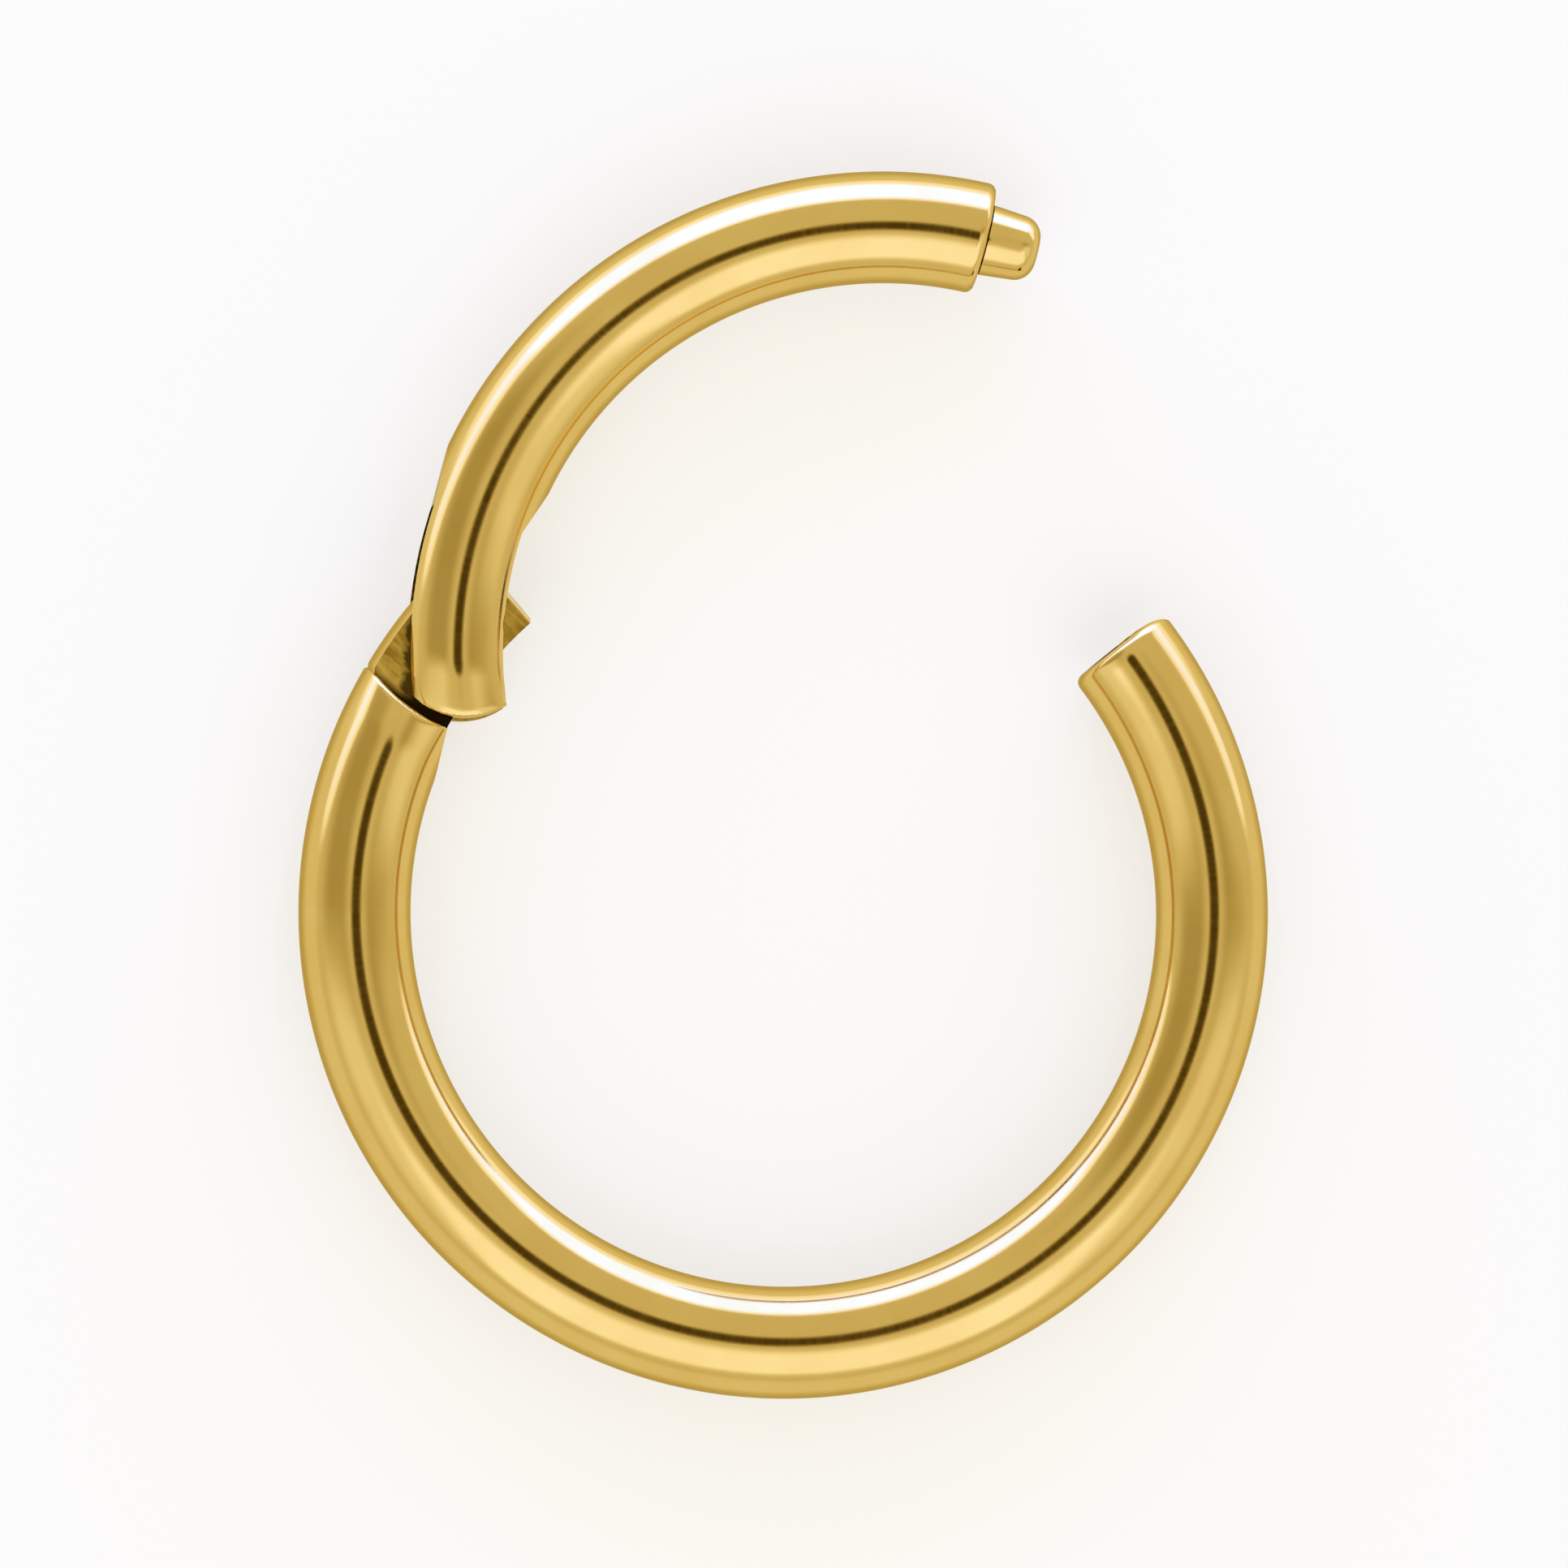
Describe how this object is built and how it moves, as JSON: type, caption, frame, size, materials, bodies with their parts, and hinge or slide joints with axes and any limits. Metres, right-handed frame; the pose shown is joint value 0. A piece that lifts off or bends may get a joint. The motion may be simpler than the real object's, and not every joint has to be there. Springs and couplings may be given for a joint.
{
  "type": "hinged segment ring",
  "caption": "Plain round-wire piercing ring with a hinged segment that swings open and closes on a pin in a socket.",
  "frame": {"origin": "centre of the main ring's wire circle, halfway up the wire, so the ring lies flat on a floor at z = -0.6 mm", "axes": "+Z along the ring's axis towards the viewer of the picture, +X and +Y across the ring, with +Y towards the side that opens"},
  "size_m": [0.0104, 0.0132, 0.0012],
  "materials": {
    "gold_finish": "high polish, gold-coloured plating on surgical steel"
  },
  "bodies": {
    "ring": {"main_ring": "gold_finish"},
    "segment": {"hinged_segment": "gold_finish", "latch_pin": "gold_finish", "pivot_pin": "gold_finish"}
  },
  "joints": [
    {"name": "segment_hinge", "type": "hinge", "parent": "ring", "child": "segment", "pos_m": [-0.0035, 0.00299, 0], "axis": [0, 0, 1], "range_deg": [-37.6, 90]}
  ]
}
